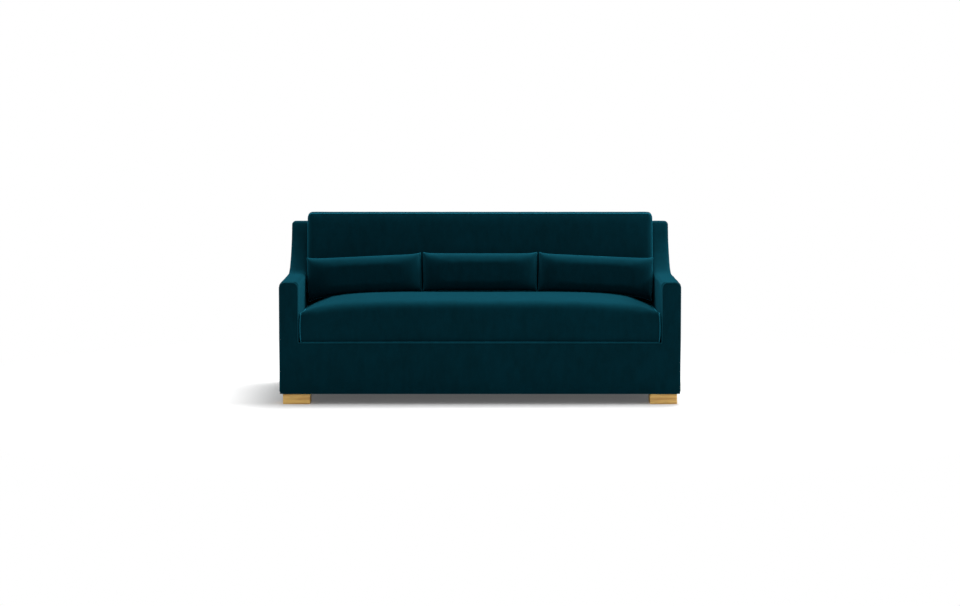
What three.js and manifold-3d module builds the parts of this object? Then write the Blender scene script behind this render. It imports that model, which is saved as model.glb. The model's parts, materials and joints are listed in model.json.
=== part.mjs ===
// A three-seat sofa: a hardwood frame on block feet, sinuous springs under a bench
// seat cushion, one long back cushion, three lumbar pillows, and arms whose tops
// sweep up in a curve to the height of the back.
// Millimetres, +Z up, X across the width, the front towards -Y. The origin is on the
// floor under the middle of the sofa.
import * as THREE from 'three';
import { mergeVertices } from 'three/addons/utils/BufferGeometryUtils.js';
import Module from 'manifold-3d';

const wasm = await Module();
wasm.setup();

// Overall sizes
const width = 1980;
const depth = 965;
const frameHeight = 852;
const armHeight = 605;
const armThickness = 94;
const deckHeight = 306;
const backThickness = 54;
const backLean = THREE.MathUtils.degToRad(10.25);

// Clearances, and how far a cut passes the face that it opens
const fit = 0.3;
const sideEase = 1.5;
const overrun = 40;

// The arm's top line: level, then a hollow sweep, a steep rise and a rounded crest
const sweepRadiusShare = 1.2146;
const sweepAngle = THREE.MathUtils.degToRad(66);
const crestRadius = 22;
const crestSetback = 30;

// Upholstery: padding with its cloth, and the roundings of its edges
const frontPad = 18;
const armPad = 14;
const insidePad = 14;
const outsidePad = 12;
const deckPad = 12;
const dustCloth = 1.5;
const armEdgeRadius = 20;
const faceEdgeRadius = 10;
const lowerCornerRadius = 14;
const edgeRollDepth = 20;
const edgeRollRadius = 9;
const innerWallRise = 8;

// Wood
const railTop = 268;
const railThickness = 25;
const frontRailThickness = 45;
const armRailThickness = 22;
const frontPostDepth = 40;
const springRailHeight = 62;
const topRailHeight = 90;
const stretcherShare = 1 / 3;
const cornerBlockHeight = 60;
const cornerBlockChamfer = 35;

// Feet and their bolts
const footWidth = 134;
const footDepth = 115;
const footHeight = 50;
const footSideInset = 15.5;
const footEndInset = 10;
const footEase = 3;
const roundSegments = 12;
const boltRadius = 4;
const boltReach = 32;
const boltHeadRadius = 8;
const boltHeadHeight = 6;
const washerRadius = 12;
const washerThickness = 2;
const boltClearance = 1;

// Sinuous springs and the clips that hold their ends
const springCount = 10;
const springEndInset = 122;
const rungCount = 22;
const rungHalfWidth = 25;
const turnReach = 10;
const springArch = 14;
const wireRadius = 2;
const clipWidth = 16;
const clipWall = 3.5;
const clipTop = 2;
const clipBite = 3;
const clipSetback = 11;

// Webbing behind the back padding
const webbingThickness = 2.4;
const webbingStrap = 52;
const webbingMargin = 20;
const webbingColumns = 8;
const webbingRows = 3;

// Seat cushion
const seatFrontInset = 9;
const seatHeight = 211;
const seatSideHeight = 122;
const seatCornerRise = 24;
const seatFrontFall = 41;
const seatRearFall = 30;
const seatTuck = 7;
const seatDrawIn = 6;
const seatCover = 12;
const seatCornerPower = 4;
const seatSidePower = 6;
const seatSideBlend = 0.78;
const seatSummitShare = -0.22;

// Back cushion
const backCushionRise = 67;
const backCushionThickness = 222;
const backCushionFrontPull = 18;
const backCushionRearPull = 16;
const backCushionTuck = 8;
const backCushionCornerRadius = 35;
const backCushionTopCrown = 20;
const backCushionTopFall = 20;
const backCushionCover = 12;
const backCushionEdgePower = 12;
const backCushionTopPower = 2;

// Lumbar pillows
const pillowHeight = 208;
const pillowGap = 10;
const pillowSideGap = 8.5;
const pillowFrontBulge = 74;
const pillowRearBulge = 48;
const pillowSeam = 6;
const pillowPinch = 8;
const pillowCover = 4;
const pillowRoll = THREE.MathUtils.degToRad(2.6);
const pillowEdgePower = 2.5;
const pillowBlend = 0.6;
const pillowRearFlatShare = 1.4;
const settlingPasses = 4;

// Cushion openings
const zipHeight = 3;
const zipShare = 0.8;

// Steps across, along and up in the faces of the formed cushions
const seatSteps = { cover: [16, 8, 3], lining: [12, 6, 2] };
const backCushionSteps = { cover: [16, 3, 8], lining: [12, 2, 6] };
const pillowSteps = { cover: [12, 1, 6], lining: [8, 1, 4] };

const finishes = {
  velvet: { color: 0x0b3a46, roughness: 0.85, metalness: 0 },
  foam: { color: 0xe8dfc4, roughness: 0.95, metalness: 0 },
  fibre: { color: 0xf2f1ec, roughness: 0.95, metalness: 0 },
  frameWood: { color: 0xb08a5a, roughness: 0.7, metalness: 0 },
  oak: { color: 0xc89b55, roughness: 0.45, metalness: 0 },
  springSteel: { color: 0x6d7176, roughness: 0.35, metalness: 1 },
  boltSteel: { color: 0xa9adb0, roughness: 0.35, metalness: 1 },
  dustCloth: { color: 0x1b1b1c, roughness: 0.95, metalness: 0 },
  webbing: { color: 0x4a4338, roughness: 0.9, metalness: 0 },
};

// Places that follow from the sizes above
const frontY = -depth / 2;
const rearY = depth / 2;
const sideX = width / 2;
const armInnerX = sideX - armThickness;
const woodInnerX = armInnerX + armPad + fit;
const woodOuterX = sideX - armPad - fit;
const bodyBottom = footHeight + fit;
const woodBottom = bodyBottom + dustCloth + fit;
const woodFrontY = frontY + frontPad + fit;
const woodRearY = rearY - outsidePad - fit;
const backTopY = rearY - backThickness;
const webbingRoom = webbingThickness / Math.cos(backLean) + 2 * fit;
const springRailRearY = woodFaceY(railTop) - fit;
const springRailFrontY = springRailRearY - railThickness;
const springRailBottom = railTop - springRailHeight;
const armRise = frameHeight - armHeight;
const sweepRadius = sweepRadiusShare * armRise;
const stretcherX = stretcherShare * armInnerX;
const springSpacing = 2 * (armInnerX - springEndInset) / (springCount - 1);
const backCushionTop = frameHeight + backCushionRise;

const sofa = new THREE.Group();
const frameGroup = new THREE.Group();
const springGroup = new THREE.Group();
const coverGroup = new THREE.Group();
const cushionGroup = new THREE.Group();
sofa.add(frameGroup, springGroup, coverGroup, cushionGroup);

// The inside back's front face, and the front of the wood behind it, at a height
function backFaceY(z) {
  return backTopY - (frameHeight - z) * Math.tan(backLean);
}

function woodFaceY(z) {
  return backFaceY(z) + insidePad + webbingRoom;
}

function addPiece(group, name, geometry, finish) {
  const mesh = new THREE.Mesh(geometry, new THREE.MeshStandardMaterial(finish));
  mesh.name = name;
  group.add(mesh);
  return mesh;
}

function bareGeometry(geometry) {
  const bare = geometry.clone();
  bare.deleteAttribute('normal');
  bare.deleteAttribute('uv');
  return mergeVertices(bare);
}

function solidOf(geometry) {
  const bare = bareGeometry(geometry);
  return new wasm.Manifold(new wasm.Mesh({
    numProp: 3,
    vertProperties: new Float32Array(bare.attributes.position.array),
    triVerts: new Uint32Array(bare.index.array),
  }));
}

function geometryOf(solid) {
  const mesh = solid.getMesh();
  const geometry = new THREE.BufferGeometry();
  geometry.setAttribute('position', new THREE.BufferAttribute(mesh.vertProperties, mesh.numProp));
  geometry.setIndex(new THREE.BufferAttribute(mesh.triVerts, 1));
  return geometry;
}

// A block between two corners
function block(x0, x1, y0, y1, z0, z1) {
  const geometry = new THREE.BoxGeometry(x1 - x0, y1 - y0, z1 - z0);
  return geometry.translate((x0 + x1) / 2, (y0 + y1) / 2, (z0 + z1) / 2);
}

// An outline whose corners, given as [a, b, radius], are rounded by that radius
function roundedOutline(corners) {
  const outline = new THREE.Shape();
  corners.forEach(([a, b, radius], i) => {
    const here = new THREE.Vector2(a, b);
    const before = new THREE.Vector2(...corners.at(i - 1));
    const after = new THREE.Vector2(...corners[(i + 1) % corners.length]);
    const start = here.clone().add(before.sub(here).setLength(radius));
    const end = here.clone().add(after.sub(here).setLength(radius));
    if (i) outline.lineTo(start.x, start.y);
    else outline.moveTo(start.x, start.y);
    if (radius) outline.quadraticCurveTo(a, b, end.x, end.y);
  });
  outline.closePath();
  return outline;
}

function outlineOf(points) {
  return new THREE.Shape(points.map(([a, b]) => new THREE.Vector2(a, b)));
}

// A side outline, drawn in Y and Z, drawn out across the sofa from x0 to x1
function acrossWidth(outline, x0, x1, edgeRadius = 0) {
  const geometry = new THREE.ExtrudeGeometry(outline, {
    depth: x1 - x0 - 2 * edgeRadius,
    curveSegments: 4,
    bevelEnabled: edgeRadius > 0,
    bevelThickness: edgeRadius,
    bevelSize: edgeRadius,
    bevelOffset: -edgeRadius,
    bevelSegments: 3,
  });
  const turn = new THREE.Matrix4().makeBasis(
    new THREE.Vector3(0, 1, 0),
    new THREE.Vector3(0, 0, 1),
    new THREE.Vector3(1, 0, 0),
  );
  return geometry.applyMatrix4(turn).translate(x0 + edgeRadius, 0, 0);
}

// A front outline, drawn in X and Z, as a panel whose outer face has rounded edges.
// The outer face looks along -Y, and the rear of the panel is cut flat.
function facePanel(outline, outerY, thickness, edgeRadius) {
  const panel = new THREE.ExtrudeGeometry(outline, {
    depth: thickness,
    curveSegments: 2,
    bevelThickness: edgeRadius,
    bevelSize: edgeRadius,
    bevelOffset: -edgeRadius,
    bevelSegments: 2,
  });
  panel.rotateX(Math.PI / 2);
  panel.translate(0, outerY + thickness + edgeRadius, 0);
  const kept = block(-width, width, outerY - overrun, outerY + thickness, 0, width);
  return geometryOf(solidOf(panel).intersect(solidOf(kept)));
}

// The arm's side outline, set in from its outer face. Its front, foot and rear run
// past the arm, to be cut where a piece ends.
function armOutline(inset) {
  const reach = Math.sin(sweepAngle);
  const climb = 1 - Math.cos(sweepAngle);
  const steepRise = armRise - (sweepRadius + crestRadius) * climb;
  const crestY = rearY - crestSetback;
  const riseEndY = crestY - crestRadius * reach;
  const riseEndZ = frameHeight - crestRadius * climb;
  const sweepStartY = riseEndY - steepRise / Math.tan(sweepAngle) - sweepRadius * reach;
  const topZ = frameHeight - inset;
  const outline = new THREE.Shape();
  outline.moveTo(frontY - overrun, bodyBottom - overrun);
  outline.lineTo(frontY - overrun, armHeight - inset);
  outline.absarc(sweepStartY, armHeight + sweepRadius, sweepRadius + inset,
    -Math.PI / 2, sweepAngle - Math.PI / 2);
  if (inset < crestRadius) {
    outline.absarc(crestY, frameHeight - crestRadius, crestRadius - inset,
      Math.PI / 2 + sweepAngle, Math.PI / 2, true);
  } else {
    const cornerZ = riseEndZ - inset * Math.cos(sweepAngle);
    const cornerY = riseEndY + inset * reach;
    outline.lineTo(cornerY + (topZ - cornerZ) / Math.tan(sweepAngle), topZ);
  }
  outline.lineTo(rearY + overrun, topZ);
  outline.lineTo(rearY + overrun, bodyBottom - overrun);
  return outline;
}

// Turns a piece made for the right side into both sides' geometries
function bothSides(geometry) {
  const mirrored = geometry.clone().scale(-1, 1, 1);
  const corners = mirrored.index.array;
  for (let i = 0; i < corners.length; i += 3) {
    [corners[i], corners[i + 1]] = [corners[i + 1], corners[i]];
  }
  return { right: geometry, left: mirrored };
}

function addPair(group, name, geometry, finish) {
  const sides = bothSides(bareGeometry(geometry));
  for (const side of ['left', 'right']) {
    addPiece(group, `${name}_${side}`, sides[side], finish);
  }
}

// A staple over the last rung of a spring, its legs sunk in the rail
function springClip(x, y) {
  const halfSlot = wireRadius + fit;
  const slotTop = railTop + 2 * halfSlot;
  const outer = block(x - clipWidth / 2, x + clipWidth / 2, y - halfSlot - clipWall,
    y + halfSlot + clipWall, railTop - clipBite, slotTop + clipTop);
  const slot = block(x - clipWidth, x + clipWidth, y - halfSlot, y + halfSlot,
    railTop - 2 * clipBite, slotTop);
  return solidOf(outer).subtract(solidOf(slot));
}

function springX(i) {
  return (i - (springCount - 1) / 2) * springSpacing;
}

function railWithClips(rail, clipY) {
  let solid = solidOf(rail);
  for (let i = 0; i < springCount; i++) {
    solid = solid.add(springClip(springX(i), clipY));
  }
  return geometryOf(solid);
}

const frontClipY = woodFrontY + frontRailThickness - clipSetback;
const rearClipY = springRailFrontY + clipSetback;

function addRails() {
  const halfSpan = woodInnerX - fit;
  const frontRail = block(-halfSpan, halfSpan, woodFrontY, woodFrontY + frontRailThickness,
    woodBottom, railTop);
  const springRail = block(-halfSpan, halfSpan, springRailFrontY, springRailRearY,
    springRailBottom, railTop);
  const rearRail = block(-halfSpan, halfSpan, woodRearY - railThickness, woodRearY,
    woodBottom, railTop);
  addPiece(frameGroup, 'front_rail', railWithClips(frontRail, frontClipY), finishes.frameWood);
  addPiece(frameGroup, 'spring_rail', railWithClips(springRail, rearClipY), finishes.frameWood);
  addPiece(frameGroup, 'rear_rail', rearRail, finishes.frameWood);
}

// Wood that leans with the back: upright behind, sloped in front
function leaningOutline(bottom, top) {
  return outlineOf([
    [woodRearY, bottom],
    [woodRearY, top],
    [woodFaceY(top), top],
    [woodFaceY(bottom), bottom],
  ]);
}

function addBackFrame() {
  const topRailTop = frameHeight - insidePad - fit;
  const topRailBottom = topRailTop - topRailHeight;
  const halfSpan = woodInnerX - fit;
  const topRail = acrossWidth(leaningOutline(topRailBottom, topRailTop), -halfSpan, halfSpan);
  addPiece(frameGroup, 'back_top_rail', topRail, finishes.frameWood);
  const upright = acrossWidth(leaningOutline(railTop + fit, topRailBottom - fit),
    stretcherX, stretcherX + railThickness);
  addPair(frameGroup, 'back_upright', upright, finishes.frameWood);
  const stretcher = block(stretcherX, stretcherX + railThickness,
    woodFrontY + frontRailThickness + fit, woodRearY - railThickness - fit,
    woodBottom, springRailBottom - fit);
  addPair(frameGroup, 'stretcher', stretcher, finishes.frameWood);
}

// The curved board under the arm's top, the posts it rests on and the side rail
function addArmFrame() {
  const armFill = solidOf(acrossWidth(armOutline(armPad + fit), woodInnerX, woodOuterX));
  const underRail = armOutline(armPad + fit + armRailThickness);
  const railCut = acrossWidth(underRail, woodInnerX - overrun, woodOuterX + overrun);
  const aheadOfPost = outlineOf([
    [woodFrontY, bodyBottom],
    [woodFaceY(bodyBottom) - fit, bodyBottom],
    [woodFaceY(frameHeight) - fit, frameHeight],
    [woodFrontY, frameHeight],
  ]);
  const railSpace = solidOf(acrossWidth(aheadOfPost, woodInnerX - overrun, woodOuterX + overrun));
  const armRail = armFill.intersect(railSpace).subtract(solidOf(railCut));
  addPair(frameGroup, 'arm_rail', geometryOf(armRail), finishes.frameWood);

  const rearPostOutline = outlineOf([
    [woodRearY, woodBottom],
    [woodRearY, frameHeight],
    [woodFaceY(frameHeight), frameHeight],
    [woodFaceY(railTop), railTop],
    [woodFaceY(railTop), woodBottom],
  ]);
  const rearPost = solidOf(acrossWidth(rearPostOutline, woodInnerX, woodOuterX));
  addPair(frameGroup, 'rear_post', geometryOf(rearPost.intersect(armFill)), finishes.frameWood);

  const frontPostTop = armHeight - armPad - fit - armRailThickness - fit;
  const frontPost = block(woodInnerX, woodOuterX, woodFrontY, woodFrontY + frontPostDepth,
    woodBottom, frontPostTop);
  addPair(frameGroup, 'front_post', frontPost, finishes.frameWood);
  const sideRail = block(woodInnerX, woodInnerX + railThickness,
    woodFrontY + frontPostDepth + fit, woodFaceY(railTop) - fit, woodBottom, railTop);
  addPair(frameGroup, 'side_rail', sideRail, finishes.frameWood);
}

// A corner block in plan, from the rail's face at innerY to the foot's far edge
function cornerOutline(innerX, outerX, innerY, outerY) {
  const step = Math.sign(outerY - innerY) * cornerBlockChamfer;
  return outlineOf([
    [innerX, innerY],
    [outerX, innerY],
    [outerX, outerY],
    [innerX + cornerBlockChamfer, outerY],
    [innerX, outerY - step],
  ]);
}

function rod(x, y, z0, z1, radius) {
  const geometry = new THREE.CylinderGeometry(radius, radius, z1 - z0, roundSegments);
  return geometry.rotateX(Math.PI / 2).translate(x, y, (z0 + z1) / 2);
}

function boltGeometry(x, y) {
  const washerBottom = woodBottom + cornerBlockHeight + fit;
  const washerTop = washerBottom + washerThickness;
  const headTop = washerTop + boltHeadHeight;
  const profile = [
    [0, footHeight - boltReach],
    [boltRadius, footHeight - boltReach],
    [boltRadius, washerBottom],
    [washerRadius, washerBottom],
    [washerRadius, washerTop],
    [boltHeadRadius, washerTop],
    [boltHeadRadius, headTop],
    [0, headTop],
  ].map(([r, z]) => new THREE.Vector2(r, z));
  const bolt = new THREE.LatheGeometry(profile, roundSegments);
  return bolt.rotateX(Math.PI / 2).translate(x, y, 0);
}

function footGeometry(centreX, centreY, holeX, holeY) {
  const halfW = footWidth / 2;
  const halfD = footDepth / 2;
  const plan = roundedOutline([
    [-halfW, -halfD, footEase],
    [halfW, -halfD, footEase],
    [halfW, halfD, footEase],
    [-halfW, halfD, footEase],
  ]);
  const body = new THREE.ExtrudeGeometry(plan, {
    depth: footHeight - 2 * footEase,
    curveSegments: 1,
    bevelThickness: footEase,
    bevelSize: footEase,
    bevelOffset: -footEase,
    bevelSegments: 1,
  });
  body.translate(centreX, centreY, footEase);
  const hole = rod(holeX, holeY, footHeight - boltReach - boltClearance,
    footHeight + overrun, boltRadius + boltClearance);
  return geometryOf(solidOf(body).subtract(solidOf(hole)));
}

const footX = sideX - footSideInset - footWidth / 2;
const footY = depth / 2 - footEndInset - footDepth / 2;
const blockInnerX = footX - footWidth / 2;
const blockOuterX = woodInnerX - fit;
const boltX = (blockInnerX + blockOuterX) / 2;

// The two ends' corner blocks reach from the rail to the foot's inner edge
const cornerEnds = {
  front: { footY: -footY, railY: woodFrontY + frontRailThickness + fit },
  rear: { footY, railY: woodRearY - railThickness - fit },
};

for (const end of Object.values(cornerEnds)) {
  end.reachY = end.footY - Math.sign(end.footY) * footDepth / 2;
  end.boltY = (end.railY + end.reachY) / 2;
}

function addFeet() {
  for (const [name, end] of Object.entries(cornerEnds)) {
    const plan = cornerOutline(blockInnerX, blockOuterX, end.railY, end.reachY);
    const corner = new THREE.ExtrudeGeometry(plan, { depth: cornerBlockHeight, bevelEnabled: false });
    corner.translate(0, 0, woodBottom);
    const hole = rod(boltX, end.boltY, 0, frameHeight, boltRadius + boltClearance);
    const drilled = geometryOf(solidOf(corner).subtract(solidOf(hole)));
    addPair(frameGroup, `corner_block_${name}`, drilled, finishes.frameWood);
    addPair(frameGroup, `foot_${name}`, footGeometry(footX, end.footY, boltX, end.boltY),
      finishes.oak);
    addPair(frameGroup, `foot_bolt_${name}`, boltGeometry(boltX, end.boltY), finishes.boltSteel);
  }
}

// A wire of square section through points, mitred at each of them
function wireGeometry(points, radius) {
  const positions = [];
  const triangles = [];
  const up = new THREE.Vector3(0, 0, 1);
  points.forEach((point, i) => {
    const inward = point.clone().sub(points[Math.max(i - 1, 0)]).normalize();
    const outward = points[Math.min(i + 1, points.length - 1)].clone().sub(point).normalize();
    const along = inward.clone().add(outward).normalize();
    const mitre = 1 / Math.max(along.dot(i ? inward : outward), 0.5);
    const side = new THREE.Vector3().crossVectors(along, up).normalize();
    const rise = new THREE.Vector3().crossVectors(side, along);
    for (const offset of [side.clone().multiplyScalar(mitre), rise,
      side.clone().multiplyScalar(-mitre), rise.clone().negate()]) {
      positions.push(...point.clone().addScaledVector(offset, radius));
    }
  });
  const ring = 4;
  for (let i = 0; i < points.length - 1; i++) {
    for (let k = 0; k < ring; k++) {
      const a = i * ring + k;
      const b = i * ring + (k + 1) % ring;
      triangles.push(a, a + ring, b, b, a + ring, b + ring);
    }
  }
  const last = (points.length - 1) * ring;
  triangles.push(0, 1, 2, 0, 2, 3, last, last + 2, last + 1, last, last + 3, last + 2);
  const geometry = new THREE.BufferGeometry();
  geometry.setAttribute('position', new THREE.Float32BufferAttribute(positions, 3));
  geometry.setIndex(triangles);
  return geometry;
}

// One spring: rungs across it, joined by turns at alternate ends, in a low arch
function springPoints() {
  const pitch = (rearClipY - frontClipY) / (rungCount - 1);
  const restZ = railTop + fit + wireRadius;
  const straight = rungHalfWidth - turnReach;
  const archZ = (share) => restZ + springArch * (1 - (2 * share - 1) ** 2);
  const points = [];
  for (let k = 0; k < rungCount; k++) {
    const side = k % 2 ? -1 : 1;
    const share = k / (rungCount - 1);
    const y = frontClipY + k * pitch;
    points.push(new THREE.Vector3(-side * straight, y, archZ(share)));
    points.push(new THREE.Vector3(side * straight, y, archZ(share)));
    if (k < rungCount - 1) {
      const turnShare = (k + 0.5) / (rungCount - 1);
      points.push(new THREE.Vector3(side * rungHalfWidth, y + pitch / 2, archZ(turnShare)));
    }
  }
  return points;
}

function addSprings() {
  const geometry = wireGeometry(springPoints(), wireRadius);
  for (let i = 0; i < springCount; i++) {
    const label = String(i + 1).padStart(2, '0');
    const spring = addPiece(springGroup, `seat_spring_${label}`, geometry, finishes.springSteel);
    spring.position.x = springX(i);
  }
}

// A net of straps crossing in one plane, leaning with the back
function addWebbing() {
  const bottomZ = deckHeight + webbingMargin;
  const topZ = frameHeight - insidePad - webbingMargin;
  const halfWidth = woodInnerX - webbingMargin;
  const height = (topZ - bottomZ) / Math.cos(backLean);
  const net = block(-halfWidth, halfWidth, 0, webbingThickness, 0, height);
  const pitchX = (2 * halfWidth - webbingStrap) / webbingColumns;
  const pitchZ = (height - webbingStrap) / webbingRows;
  let straps = solidOf(net);
  for (let column = 0; column < webbingColumns; column++) {
    for (let row = 0; row < webbingRows; row++) {
      const x = -halfWidth + webbingStrap + column * pitchX;
      const z = webbingStrap + row * pitchZ;
      const gap = block(x, x + pitchX - webbingStrap, -overrun, overrun,
        z, z + pitchZ - webbingStrap);
      straps = straps.subtract(solidOf(gap));
    }
  }
  const geometry = geometryOf(straps);
  const webbing = addPiece(frameGroup, 'back_webbing', geometry, finishes.webbing);
  webbing.position.set(0, backFaceY(bottomZ) + insidePad + fit, bottomZ);
  webbing.rotation.x = -backLean;
}

// Each arm's padded cover: a swept shell, open below and at both ends
function addArmCovers() {
  const coverFrontY = frontY + frontPad + fit;
  const coverRearY = rearY - outsidePad - fit;
  const body = solidOf(acrossWidth(armOutline(0), armInnerX, sideX, armEdgeRadius));
  const ends = block(armInnerX - overrun, sideX + overrun, coverFrontY, coverRearY,
    bodyBottom, frameHeight + overrun);
  const cavity = acrossWidth(armOutline(armPad), armInnerX + armPad, sideX - armPad);
  const pastInnerWall = armInnerX + 2 * armPad;
  const belowInnerWall = block(armInnerX - overrun, pastInnerWall, frontY - overrun,
    rearY + overrun, 0, railTop + innerWallRise);
  const wallTop = frameHeight - armPad - fit;
  const behindBack = acrossWidth(outlineOf([
    [backFaceY(0) + insidePad, 0],
    [rearY + overrun, 0],
    [rearY + overrun, wallTop],
    [backFaceY(wallTop) + insidePad, wallTop],
  ]), armInnerX - overrun, pastInnerWall);
  const cover = body.intersect(solidOf(ends)).subtract(solidOf(cavity))
    .subtract(solidOf(belowInnerWall)).subtract(solidOf(behindBack));
  addPair(coverGroup, 'arm_cover', geometryOf(cover), finishes.velvet);
}

// The front: both arm ends and the rail below the seat in one panel
function addFrontCover() {
  const outline = roundedOutline([
    [-sideX, bodyBottom, lowerCornerRadius],
    [sideX, bodyBottom, lowerCornerRadius],
    [sideX, armHeight, armEdgeRadius],
    [armInnerX, armHeight, armEdgeRadius],
    [armInnerX, deckHeight, 0],
    [-armInnerX, deckHeight, 0],
    [-armInnerX, armHeight, armEdgeRadius],
    [-sideX, armHeight, armEdgeRadius],
  ]);
  const cover = facePanel(outline, frontY, frontPad, faceEdgeRadius);
  addPiece(coverGroup, 'front_cover', cover, finishes.velvet);
}

function addBackCovers() {
  const outline = roundedOutline([
    [-sideX, bodyBottom, lowerCornerRadius],
    [sideX, bodyBottom, lowerCornerRadius],
    [sideX, frameHeight, armEdgeRadius],
    [-sideX, frameHeight, armEdgeRadius],
  ]);
  const outside = facePanel(outline, -rearY, outsidePad, faceEdgeRadius).rotateZ(Math.PI);
  addPiece(coverGroup, 'outside_back_cover', outside, finishes.velvet);

  const bottom = deckHeight + fit;
  const innerTop = frameHeight - insidePad;
  const coverRearY = rearY - outsidePad - fit;
  const side = new THREE.Shape();
  side.moveTo(backFaceY(bottom), bottom);
  side.lineTo(backFaceY(frameHeight - crestRadius), frameHeight - crestRadius);
  side.quadraticCurveTo(backFaceY(frameHeight), frameHeight,
    backFaceY(frameHeight) + crestRadius, frameHeight);
  side.lineTo(coverRearY, frameHeight);
  side.lineTo(coverRearY, innerTop);
  side.lineTo(backFaceY(innerTop) + insidePad, innerTop);
  side.lineTo(backFaceY(bottom) + insidePad, bottom);
  const inside = acrossWidth(side, -(armInnerX - fit), armInnerX - fit);
  addPiece(coverGroup, 'inside_back_cover', inside, finishes.velvet);
}

// The deck over the springs, the roll along its front edge and the cloth underneath
function addDeckAndDustCover() {
  const halfSpan = armInnerX - fit;
  const deckBottom = deckHeight - deckPad;
  const deck = block(-halfSpan, halfSpan, woodFrontY, woodFaceY(deckBottom) - fit,
    deckBottom, deckHeight);
  addPiece(coverGroup, 'deck_pad', deck, finishes.velvet);
  const rollRearY = woodFrontY + edgeRollDepth;
  const rollTop = deckBottom - fit;
  const roll = roundedOutline([
    [woodFrontY, railTop + fit, 0],
    [rollRearY, railTop + fit, 0],
    [rollRearY, rollTop, edgeRollRadius],
    [woodFrontY, rollTop, edgeRollRadius],
  ]);
  addPiece(coverGroup, 'front_edge_roll', acrossWidth(roll, -halfSpan, halfSpan), finishes.foam);

  const plan = outlineOf([
    [-woodOuterX, woodFrontY],
    [woodOuterX, woodFrontY],
    [woodOuterX, woodRearY],
    [-woodOuterX, woodRearY],
  ]);
  for (const side of [-1, 1]) {
    for (const end of Object.values(cornerEnds)) {
      const hole = new THREE.Path();
      hole.absarc(side * boltX, end.boltY, boltRadius + boltClearance, 0, 2 * Math.PI, true);
      plan.holes.push(hole);
    }
  }
  const cloth = new THREE.ExtrudeGeometry(plan, {
    depth: dustCloth, curveSegments: 6, bevelEnabled: false,
  });
  addPiece(coverGroup, 'dust_cover', cloth.translate(0, 0, bodyBottom), finishes.dustCloth);
}

// A box of side 2 about the origin whose vertices a formula then moves into place
function formedBox(segments, place) {
  const geometry = bareGeometry(new THREE.BoxGeometry(2, 2, 2, ...segments));
  const positions = geometry.attributes.position;
  const vertex = new THREE.Vector3();
  for (let i = 0; i < positions.count; i++) {
    vertex.fromBufferAttribute(positions, i);
    place(vertex);
    positions.setXYZ(i, vertex.x, vertex.y, vertex.z);
  }
  return geometry;
}

// Even steps from -1 to 1, drawn together towards the ends
function spread(t) {
  return Math.sin(t * Math.PI / 2);
}

const seatHalfWidth = armInnerX - sideEase;
const seatFrontY = frontY + seatFrontInset;
const seatRearY = backFaceY(deckHeight) - 2 * fit;
const seatMidY = (seatFrontY + seatRearY) / 2;
const seatHalfDepth = (seatRearY - seatFrontY) / 2;
const seatBottom = deckHeight + fit;
const pillowWidth = (2 * (seatHalfWidth - pillowSideGap) - 2 * pillowGap) / 3;

// The seat's thickness at shares of its half width and half depth: its side edges rise
// towards the front corners, and a crown stands over them
function seatThickness(u, v) {
  const across = (1 - Math.min(Math.abs(u), 1) ** seatSidePower) ** seatSideBlend;
  const fall = v < seatSummitShare ? seatFrontFall : seatRearFall;
  const crest = seatHeight - fall * (v - seatSummitShare) ** 2;
  const edge = seatSideHeight + seatCornerRise * ((1 - v) / 2) ** seatCornerPower;
  return edge + (crest - edge) * across;
}

function seatTopZ(x, y) {
  return seatBottom + seatThickness(x / seatHalfWidth, (y - seatMidY) / seatHalfDepth);
}

function seatGeometry(inset, segments) {
  return formedBox(segments, (p) => {
    const u = spread(p.x);
    const v = spread(p.y);
    const tuck = seatTuck * p.z ** 2 + inset;
    const top = seatBottom + seatThickness(u, v) - inset;
    const bottom = seatBottom + inset;
    const drawn = seatDrawIn * (1 - u ** 2);
    p.x = u * (seatHalfWidth - tuck);
    p.y = seatMidY + v * (seatHalfDepth - tuck - drawn);
    p.z = bottom + (top - bottom) * (p.z + 1) / 2;
  });
}

// The back cushion stands on the seat where its front lower edge meets the crown
const cushionPlaneGap = fit;
const backCushionBottom = settledBackCushionBottom();
const backCushionMidZ = (backCushionTop + backCushionBottom) / 2;
const backCushionHalfHeight = (backCushionTop - backCushionBottom) / 2;

function backCushionFrontPlaneY(z) {
  return backFaceY(z) - cushionPlaneGap - backCushionThickness;
}

function settledBackCushionBottom() {
  return seatTopZ(0, backCushionFrontPlaneY(seatBottom + seatHeight)) + fit;
}

// Draws a place in the square of the back cushion's upper corner in under the corner's arc
function underCorner(u, w) {
  const across = (Math.abs(u) - 1) * seatHalfWidth + backCushionCornerRadius;
  const up = (w - 1) * backCushionHalfHeight + backCushionCornerRadius;
  if (across <= 0 || up <= 0) {
    return [u, w];
  }
  const excess = 1 - Math.max(across, up) / Math.hypot(across, up);
  const inward = Math.sign(u) * across * excess / seatHalfWidth;
  return [u - inward, w - up * excess / backCushionHalfHeight];
}

function backCushionGeometry(inset, segments) {
  return formedBox(segments, (p) => {
    const u = spread(p.x);
    const w = spread(p.z);
    const full = (1 - u ** backCushionEdgePower) * (1 - w ** backCushionEdgePower);
    const [across, up] = underCorner(u, w);
    const fall = backCushionTopCrown * p.y ** 2 + backCushionTopFall * (p.y + 1) / 2;
    const drop = fall * Math.max(w, 0) ** backCushionTopPower;
    const z = backCushionMidZ + up * (backCushionHalfHeight - inset) - drop;
    const rear = backFaceY(z) - cushionPlaneGap - backCushionRearPull * (1 - full) - inset;
    const front = backCushionFrontPlaneY(z) + backCushionFrontPull * (1 - full) + inset;
    p.x = across * (seatHalfWidth - backCushionTuck * p.y ** 2 - inset);
    p.y = front + (rear - front) * (p.y + 1) / 2;
    p.z = z;
  });
}

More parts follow.
